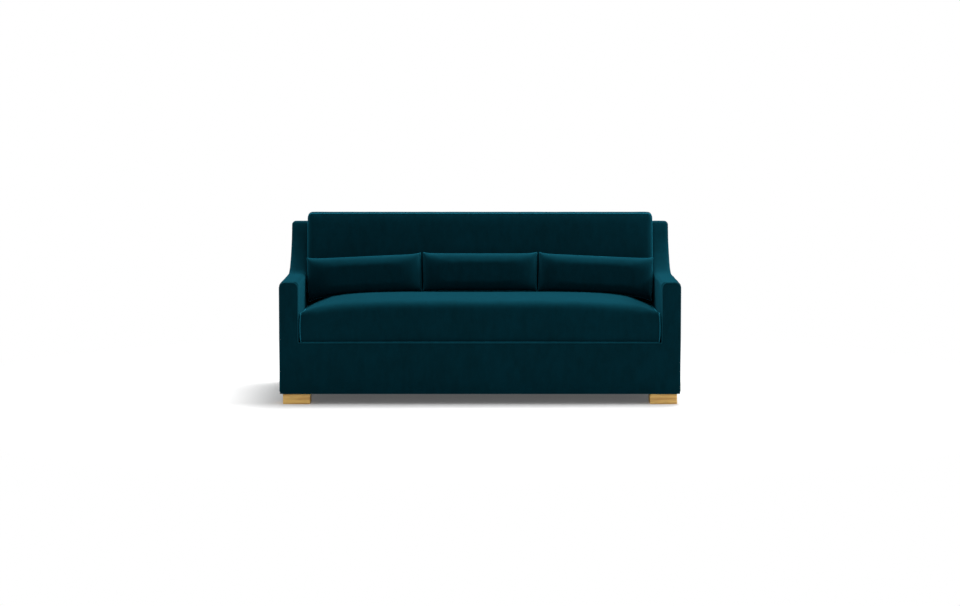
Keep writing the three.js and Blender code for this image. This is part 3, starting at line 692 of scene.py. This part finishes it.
def make_deck():
    """The seat's deck: a velvet border in front, plain platform cloth behind it."""
    bm = box_between(DECK_LOW, DECK_HIGH)
    rim = [e for e in bm.edges if all(v.co.z > DECK_TOP - GAP for v in e.verts)]
    round_edges(bm, rim, DECK_EDGE, segments=3)
    cut_into_cells(bm)
    seam_y = DECK_LOW.y + DECK_BORDER
    cut(bm, (0, seam_y, 0), (0, 1, 0))
    for vert in bm.verts:
        if vert.co.z > DECK_TOP - GAP:
            near_seam = math.exp(-((vert.co.y - seam_y) / DECK_SEAM_WIDTH) ** 2)
            vert.co.z -= DECK_SEAM_DEPTH * near_seam
            vert.co.z -= abs(swell(vert.co, 6, DECK_RIPPLE, seed=5))
    for face in bm.faces:
        face.material_index = int(face.calc_center_median().y > seam_y)
    piece = finish_piece("deck", bm, VELVET, "frame", ["deck_pad"])
    piece.data.materials.append(PLATFORM_CLOTH)


def make_dust_cloth():
    """Thin black cloth stretched under the frame, sagging a little between the rails."""
    middle = (CLOTH_LOW + CLOTH_HIGH) / 2
    half = (CLOTH_HIGH - CLOTH_LOW) / 2
    bm = bmesh.new()
    bmesh.ops.create_grid(bm, x_segments=90, y_segments=42, size=1)
    for vert in bm.verts:
        u, v = vert.co.x, vert.co.y
        free = (1 - u ** 8) * (1 - v ** 6)
        top = CLOTH_HIGH.z - GAP - CLOTH_SAG * free
        point = Vector((middle.x + u * half.x, middle.y + v * half.y, top))
        point.z -= free * abs(swell(point, 9, CLOTH_RIPPLE, seed=31))
        vert.co = point
    bmesh.ops.solidify(bm, geom=bm.faces, thickness=CLOTH_THICKNESS)
    piece = finish_piece("dust_cloth", bm, DUST_CLOTH, "frame", ["dust_cover"])


def make_feet():
    """Block feet with softly eased edges."""
    for end in ("front", "rear"):
        for side in ("left", "right"):
            node = f"foot_{end}_{side}"
            bm = box_between(*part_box(node))
            round_edges(bm, bm.edges[:], FOOT_EDGE, segments=4)
            finish_piece(f"block_{node}", bm, OAK, "frame", [node])


def gridded_box(steps):
    """A box of side 2 about the origin, cut into even steps along X, Y and Z."""
    bm = bmesh.new()
    bmesh.ops.create_cube(bm, size=2)
    for axis, count in enumerate(steps):
        along = [e for e in bm.edges if abs(e.verts[0].co[axis] - e.verts[1].co[axis]) > TOUCH]
        bmesh.ops.subdivide_edges(bm, edges=along, cuts=count - 1, use_grid_fill=True)
    return bm


def ease(t, draw=DRAW):
    """Steps from -1 to 1, drawn together towards the ends."""
    return t + draw * (math.sin(t * math.pi / 2) - t)


def formed_box(steps, place):
    """A gridded box moved into shape, and where each of its vertices was on the box."""
    bm = gridded_box(steps)
    shares = [v.co.copy() for v in bm.verts]
    for vert, share in zip(bm.verts, shares):
        vert.co = place(share)
    return bm, shares


def evened(bm, steps, held):
    """Steps of a skin's vertices, each drawn towards the mean of its neighbours' steps."""
    bm.verts.index_update()
    around = [[edge.other_vert(vert).index for edge in vert.link_edges] for vert in bm.verts]
    for _ in range(EVENING_PASSES):
        means = [sum((steps[j] for j in near), Vector()) / len(near) for near in around]
        steps = [step if i in held else (step + mean) / 2
                 for i, (step, mean) in enumerate(zip(steps, means))]
    return steps


def fill_with_pressure(bm, held, slack, reach):
    """Blows a skin up as cloth with its seams held, and caps how far each point moves."""
    mesh = bpy.data.meshes.new("filling")
    bm.to_mesh(mesh)
    skin = bpy.data.objects.new("filling", mesh)
    scene = bpy.context.scene
    scene.collection.objects.link(skin)
    pins = skin.vertex_groups.new(name="seams")
    pins.add(held, 1, "REPLACE")
    cloth = skin.modifiers.new("Cloth", "CLOTH")
    cloth.point_cache.frame_start = 1
    cloth.point_cache.frame_end = SETTLING_FRAMES
    settings = cloth.settings
    settings.quality = 6
    settings.mass = 0.25
    settings.tension_stiffness = 20
    settings.compression_stiffness = 12
    settings.shear_stiffness = 6
    settings.bending_stiffness = 0.8
    settings.use_pressure = True
    settings.uniform_pressure_force = PRESSURE
    settings.shrink_min = -slack
    settings.shrink_max = -slack
    settings.effector_weights.gravity = 0
    settings.vertex_group_mass = pins.name
    for number in range(1, SETTLING_FRAMES + 1):
        scene.frame_set(number)
    moved = skin.evaluated_get(bpy.context.evaluated_depsgraph_get()).data
    bm.normal_update()
    steps = []
    for vert, end in zip(bm.verts, moved.vertices):
        step = end.co - vert.co
        step -= vert.normal * min(0, step.dot(vert.normal) + DENT)
        if step.length > reach:
            step *= reach / step.length
        steps.append(step)
    for vert, step in zip(bm.verts, evened(bm, steps, set(held))):
        vert.co += step
    bpy.data.objects.remove(skin)
    scene.frame_set(1)


# The default cover, the cord velvet, is painted lighter than the sofa's velvet as a painted
# highlight.
def make_welt(name, runs, body, cover=PAINTED_HIGHLIGHT_CORD_VELVET):
    """Thin covered cord sewn into a seam, along runs of points that may close."""
    curve = bpy.data.curves.new(name, "CURVE")
    curve.dimensions = "3D"
    curve.bevel_depth = WELT_RADIUS
    curve.bevel_resolution = 2
    curve.use_fill_caps = True
    for points, closed in runs:
        spline = curve.splines.new("POLY")
        spline.points.add(len(points) - 1)
        for place, point in zip(spline.points, points):
            place.co = (*point, 1)
        spline.use_cyclic_u = closed
    holder = bpy.data.objects.new(name, curve)
    bpy.context.scene.collection.objects.link(holder)
    mesh = bpy.data.meshes.new_from_object(holder.evaluated_get(
        bpy.context.evaluated_depsgraph_get()))
    bpy.data.objects.remove(holder)
    bm = bmesh.new()
    bm.from_mesh(mesh)
    return finish_piece(name, bm, cover, body, [])


def run_of(bm, shares, chosen, key):
    """The vertices whose place on the box is chosen, in the order of a key."""
    found = [(key(s), v.co.copy()) for v, s in zip(bm.verts, shares) if chosen(s)]
    return [point for _, point in sorted(found, key=lambda pair: pair[0])]


def at(value, end):
    return abs(value - end) < SAME


SEAT_FRONT = FRONT_Y + SEAT_FRONT_INSET
SEAT_REAR = back_face_y(DECK_TOP) - 2 * GAP
SEAT_MIDDLE = (SEAT_FRONT + SEAT_REAR) / 2
SEAT_HALF_DEPTH = (SEAT_REAR - SEAT_FRONT) / 2


def seat_thickness(u, v):
    """The seat's thickness at shares of its half width and half depth."""
    across = (1 - min(abs(u), 1) ** SEAT_CROWN_POWER) ** SEAT_CROWN_FULLNESS
    fall = SEAT_FRONT_FALL if v < SEAT_SUMMIT else SEAT_REAR_FALL
    crest = SEAT_HEIGHT - SEAT_FILLING - fall * (v - SEAT_SUMMIT) ** 2
    edge = SEAT_SIDE_HEIGHT + SEAT_CORNER_RISE * ((1 - v) / 2) ** SEAT_CORNER_POWER
    return edge + (crest - edge) * across


def seat_place(share, inset=0.0):
    """A point of the seat cushion: a bench with a rolled front edge and a crowned top."""
    u, v = ease(share.x), ease(share.y)
    tuck = SEAT_TUCK * share.z ** 2 + inset
    drawn = SEAT_DRAW_IN * (1 - u ** 2)
    half = SEAT_HALF_DEPTH - tuck - drawn
    y = v * half
    below = (1 - share.z) / 2 * seat_thickness(u, v)
    roll = SEAT_ROLL * min(1, SEAT_ROLL_GROWTH * (1 - abs(u)) + SEAT_ROLL_AT_SIDES)
    across, down = y + half - roll, roll - below
    if across < 0 and down > 0:
        turn = math.hypot(across, down)
        y = -half + roll + across * roll / turn
        below = roll - down * roll / turn
    thickness = seat_thickness(u, y / SEAT_HALF_DEPTH)
    z = SEAT_BOTTOM + inset + (thickness - 2 * inset) * (1 - below / thickness)
    corner = SEAT_CORNER_TUCK * max(0, -v) ** SEAT_CORNER_TUCK_POWER
    return Vector((u * (SEAT_HALF_WIDTH - tuck - corner), SEAT_MIDDLE + y, z))


def make_seat_cushion():
    bm, shares = formed_box((124, 56, 12), seat_place)

    def sewn(s):
        side = at(abs(s.x), 1) and (at(s.y, -1) or at(s.z, 1))
        under = at(s.z, -1) and (at(abs(s.x), 1) or at(abs(s.y), 1))
        return side or under or (at(s.y, 1) and at(s.z, 1))

    held = [i for i, s in enumerate(shares) if sewn(s)]
    fill_with_pressure(bm, held, SEAT_SLACK, SEAT_REACH)
    for vert in bm.verts:
        vert.co.x = max(-SEAT_HALF_WIDTH, min(SEAT_HALF_WIDTH, vert.co.x))
        vert.co.y = max(SEAT_FRONT - SEAT_BULGE, min(SEAT_REAR, vert.co.y))
        vert.co.z = max(SEAT_BOTTOM, vert.co.z)
    under = run_of(bm, shares, lambda s: at(s.z, -1) and (at(abs(s.x), 1) or at(abs(s.y), 1)),
                   lambda s: math.atan2(s.y, s.x))
    sides = [run_of(bm, shares, lambda s: at(s.x, end) and (at(s.y, -1) or at(s.z, 1)),
                    lambda s: s.y + s.z) for end in (-1, 1)]
    rear = run_of(bm, shares, lambda s: at(s.y, 1) and at(s.z, 1), lambda s: s.x)
    over = sides[0] + rear[1:-1] + sides[1][::-1]
    piece = finish_piece("seat_cushion_velvet", bm, VELVET, "seat_cushion",
                         ["seat_cushion_cover"])
    subdivided(piece)
    make_welt("seat_cushion_welt", [(under, True), (over, False)], "seat_cushion")

    core, _ = formed_box((24, 12, 4), lambda s: seat_place(s, COVER))
    piece = finish_piece("seat_cushion_foam", core, FOAM, "seat_cushion",
                         ["seat_cushion_core"])


BACK_CUSHION_TOP = FRAME_TOP + BACK_CUSHION_RISE


def back_place(share, inset=0.0):
    """A point of the back cushion: a boxed cushion that leans on the inside back."""
    u, w = ease(share.x, BACK_DRAW), ease(share.z, BACK_DRAW)
    half_width = SEAT_HALF_WIDTH - BACK_TUCK * share.y ** 2 - inset
    half_height = (BACK_CUSHION_TOP - BACK_CUSHION_LOW - BACK_FILLING) / 2 - inset
    x, rise = u * half_width, w * half_height
    across, up = abs(x) - half_width + BACK_CORNER, rise - half_height + BACK_CORNER
    if across > 0 and up > 0:
        turn = math.hypot(across, up)
        longest = max(across, up)
        x = math.copysign(half_width - BACK_CORNER + across * longest / turn, x)
        rise = half_height - BACK_CORNER + up * longest / turn
    rolled = BACK_TOP_ROLL * share.y ** BACK_TOP_ROLL_POWER
    fall = rolled + BACK_TOP_FALL * (share.y + 1) / 2
    middle = (BACK_CUSHION_TOP + BACK_CUSHION_LOW - BACK_FILLING) / 2
    z = middle + rise - fall * max(w, 0) ** 2
    full = (1 - u ** BACK_REAR_POWER) * (1 - w ** BACK_REAR_POWER)
    rear = back_face_y(z) - GAP - BACK_REAR_PULL * (1 - full) - inset
    past = max(0, 1 - (1 - abs(u)) * half_width / BACK_SIDE_ROUND)
    rounding = BACK_SIDE_ROUND * (1 - math.sqrt(1 - min(past, 1) ** 2))
    pull = BACK_FRONT_PULL * w ** BACK_FRONT_POWER + rounding
    front = back_face_y(z) - GAP - BACK_CUSHION_THICKNESS + pull + inset
    return Vector((x, front + (rear - front) * (share.y + 1) / 2, z))


def make_back_cushion():
    bm, shares = formed_box((124, 14, 30), back_place)

    def rim(s):
        return at(abs(s.x), 1) or at(abs(s.z), 1)

    held = [i for i, s in enumerate(shares) if at(abs(s.y), 1) and rim(s)]
    fill_with_pressure(bm, held, BACK_SLACK, BACK_REACH)
    for vert in bm.verts:
        vert.co.x = max(-SEAT_HALF_WIDTH, min(SEAT_HALF_WIDTH, vert.co.x))
        vert.co.y = min(back_face_y(vert.co.z) - GAP, vert.co.y)
    seams = [run_of(bm, shares, lambda s: at(s.y, end) and rim(s),
                    lambda s: math.atan2(s.z, s.x)) for end in (-1, 1)]
    piece = finish_piece("back_cushion_velvet", bm, VELVET, "back_cushion",
                         ["back_cushion_cover"])
    subdivided(piece)
    make_welt("back_cushion_welt", [(seam, True) for seam in seams], "back_cushion")

    core, _ = formed_box((24, 4, 10), lambda s: back_place(s, COVER))
    piece = finish_piece("back_cushion_fibre", core, FIBRE, "back_cushion",
                         ["back_cushion_core"])


def pillow_place(share, side, inset=0.0):
    """A point of a knife-edged pillow about its own middle, flattened where it leans."""
    u, w = ease(share.x), ease(share.z)
    upright = PILLOW_TOP_POWER if w > 0 else PILLOW_FOOT_POWER
    full = ((1 - abs(u) ** PILLOW_SIDE_POWER) * (1 - abs(w) ** upright)) ** PILLOW_FULLNESS
    seam = max(PILLOW_SEAM / 2 - inset, 0.0004)
    front = seam + (PILLOW_FRONT_BULGE - inset) * full
    rear = seam + (PILLOW_REAR_BULGE - inset) * min(PILLOW_REAR_FLATNESS * full, 1)
    side_pinch = PILLOW_SIDE_PINCH * (1 - w ** PILLOW_SIDE_PINCH_POWER)
    pinch = PILLOW_PINCH * (1 - u ** PILLOW_PINCH_POWER)
    x = u * (PILLOW_WIDTH / 2 - 2 * inset - side_pinch)
    z = w * (PILLOW_HEIGHT / 2 - 2 * inset - pinch)
    z -= PILLOW_DROOP * max(0, side * u) ** PILLOW_DROOP_POWER * (1 - w) / 2
    y = -front if share.y < 0 else rear
    return Vector((x, 0 if at(share.y, 0) else y, z))


def pillow_pose(node, side, sunk):
    """Where a pillow leans: against the back cushion, its middle near its node's middle."""
    low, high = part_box(node)
    middle = (low + high) / 2
    lean = (PILLOW_SEAM / 2 + PILLOW_REAR_BULGE + GAP) / math.cos(BACK_LEAN)
    front = back_face_y(middle.z) - GAP - BACK_CUSHION_THICKNESS
    turn = Matrix.Rotation(side * PILLOW_ROLL, 4, "Y")
    lean_back = Matrix.Rotation(-BACK_LEAN, 4, "X")
    place = (middle.x, front - lean, middle.z - sunk)
    return Matrix.Translation(place) @ lean_back @ turn


def make_pillows():
    for label, side, sunk in (("left", -1, PILLOW_SINK), ("middle", 0, 0), ("right", 1, 0)):
        node = f"lumbar_pillow_cover_{label}"
        pose = pillow_pose(node, side, sunk)
        body = f"pillow_{label}"
        bm, shares = formed_box((64, 2, 24), lambda s: pillow_place(s, side))

        def rim(s):
            return at(s.y, 0) and (at(abs(s.x), 1) or at(abs(s.z), 1))

        held = [i for i, s in enumerate(shares) if rim(s)]
        fill_with_pressure(bm, held, PILLOW_SLACK + PILLOW_SLACK_STEP * side, PILLOW_REACH)
        foremost = -PILLOW_SEAM / 2 - PILLOW_FRONT_BULGE - PILLOW_SWELL
        rearmost = PILLOW_SEAM / 2 + PILLOW_REAR_BULGE
        for vert in bm.verts:
            vert.co.y = max(foremost, min(rearmost, vert.co.y))
        bmesh.ops.transform(bm, matrix=pose, verts=bm.verts)
        seam = run_of(bm, shares, rim, lambda s: math.atan2(s.z, s.x))
        piece = finish_piece(f"lumbar_pillow_velvet_{label}", bm, VELVET, body, [node])
        subdivided(piece)
        make_welt(f"lumbar_pillow_welt_{label}", [(seam, True)], body)

        core, _ = formed_box((16, 2, 8), lambda s: pillow_place(s, side, PILLOW_COVER))
        bmesh.ops.transform(core, matrix=pose, verts=core.verts)
        piece = finish_piece(f"lumbar_pillow_fibre_{label}", core, FIBRE, body,
                             [f"lumbar_pillow_insert_{label}"])


def make_edge_roll():
    """The foam roll that softens the front rail's edge under the deck."""
    low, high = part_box("front_edge_roll")
    bm = box_between(low, high)
    upper = [e for e in bm.edges if all(v.co.z > high.z - GAP for v in e.verts)
             and abs(e.verts[0].co.x - e.verts[1].co.x) > GAP]
    round_edges(bm, upper, ROLL_EDGE, segments=5)
    piece = finish_piece("edge_roll_foam", bm, FOAM, "frame", ["front_edge_roll"])


def finish_frame_nodes():
    """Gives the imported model's own timber, steel and webbing their finishes."""
    finishes = {
        "frame_wood": TIMBER,
        "oak": OAK,
        "spring_steel": SPRING_STEEL,
        "bolt_steel": BOLT_STEEL,
        "webbing": WEBBING,
        "foam": FOAM,
        "fibre_fill": FIBRE,
        "velvet": VELVET,
        "dust_cloth": DUST_CLOTH,
    }
    slots = {row["node"]: row["material_slot"] for row in frame["record"]["subparts"]}
    for name, node in frame["nodes"].items():
        finish = finishes[slots[name]]
        for material_slot in node.material_slots:
            material_slot.material = finish
        if not node.material_slots:
            node.data.materials.append(finish)


def make_stage():
    bm = bmesh.new()
    bmesh.ops.create_circle(bm, cap_ends=True, segments=96, radius=FLOOR_RADIUS)
    mesh = bpy.data.meshes.new("floor")
    bm.to_mesh(mesh)
    bm.free()
    floor = bpy.data.objects.new("floor", mesh)
    bpy.context.scene.collection.objects.link(floor)
    mesh.materials.append(floor_finish())


def floor_finish():
    """A pale floor that takes the sofa's shadow and fades to white round it."""
    finish = Finish("floor")
    radius = finish.add("ShaderNodeVectorMath", {"operation": "LENGTH"},
                        {0: finish.place()}, output="Value")
    start, end = FLOOR_FADE
    far = finish.add("ShaderNodeMapRange", {"interpolation_type": "SMOOTHSTEP"},
                     {"Value": radius, "From Min": start, "From Max": end})
    grey = (FLOOR_GREY, FLOOR_GREY, FLOOR_GREY, 1)
    diffuse = finish.add("ShaderNodeBsdfDiffuse", None, {"Color": grey})
    lift, white = (
        finish.add("ShaderNodeEmission", None, {"Color": (1, 1, 1, 1), "Strength": strength})
        for strength in (FLOOR_LIFT, 1))
    near = finish.add("ShaderNodeAddShader", None, {0: diffuse, 1: lift})
    seen = finish.add("ShaderNodeMixShader", None, {0: far, 1: near, 2: white})
    camera_ray = finish.add("ShaderNodeLightPath", output="Is Camera Ray")
    shader = finish.add("ShaderNodeMixShader", None, {0: camera_ray, 1: diffuse, 2: seen})
    finish.add("ShaderNodeOutputMaterial", None, {"Surface": shader})
    return finish.owner


def make_world():
    """White to the camera and in gloss and glass, and dimmer as a light."""
    world = bpy.data.worlds.new("studio")
    bpy.context.scene.world = world
    finish = Finish("studio", world)
    camera, gloss, glass = (
        finish.add("ShaderNodeLightPath", output=f"Is {kind} Ray")
        for kind in ("Camera", "Glossy", "Transmission"))
    seen = camera.maths("MAXIMUM", camera.maths("MAXIMUM", camera, gloss), glass)
    strength = seen * (1 - WORLD_LIGHT) + WORLD_LIGHT
    background = finish.add("ShaderNodeBackground", None,
                            {"Color": (1, 1, 1, 1), "Strength": strength})
    finish.add("ShaderNodeOutputWorld", None, {"Surface": background})


def make_lamp(name, place, size, power):
    lamp = bpy.data.lights.new(name, "AREA")
    lamp.shape = "RECTANGLE"
    lamp.size, lamp.size_y = size
    lamp.energy = power
    holder = bpy.data.objects.new(name, lamp)
    bpy.context.scene.collection.objects.link(holder)
    holder.location = place
    aim = Vector(LAMP_TARGET) - Vector(place)
    holder.rotation_euler = aim.to_track_quat("-Z", "Y").to_euler()


def make_camera():
    data = bpy.data.cameras.new("camera")
    data.sensor_width = SENSOR
    data.lens = SENSOR * LENS_SHARE
    data.clip_end = 200
    camera = bpy.data.objects.new("camera", data)
    bpy.context.scene.collection.objects.link(camera)
    camera.location = CAMERA_PLACE
    camera.rotation_euler = (math.pi / 2 - CAMERA_PITCH, 0, 0)
    bpy.context.scene.camera = camera


make_camera()
make_world()
make_lamp("overhead", place=(0.5, 1.1, 4.0), size=(3.2, 2.4), power=300)
make_lamp("side", place=(4.5, -0.5, 3.2), size=(1.5, 1.5), power=100)
make_stage()
make_arms()
make_front_panel()
make_outside_back()
make_inside_back()
make_deck()
make_dust_cloth()
make_feet()
make_edge_roll()
make_seat_cushion()
make_back_cushion()
make_pillows()
finish_frame_nodes()
bpy.context.scene.view_settings.view_transform = "Standard"
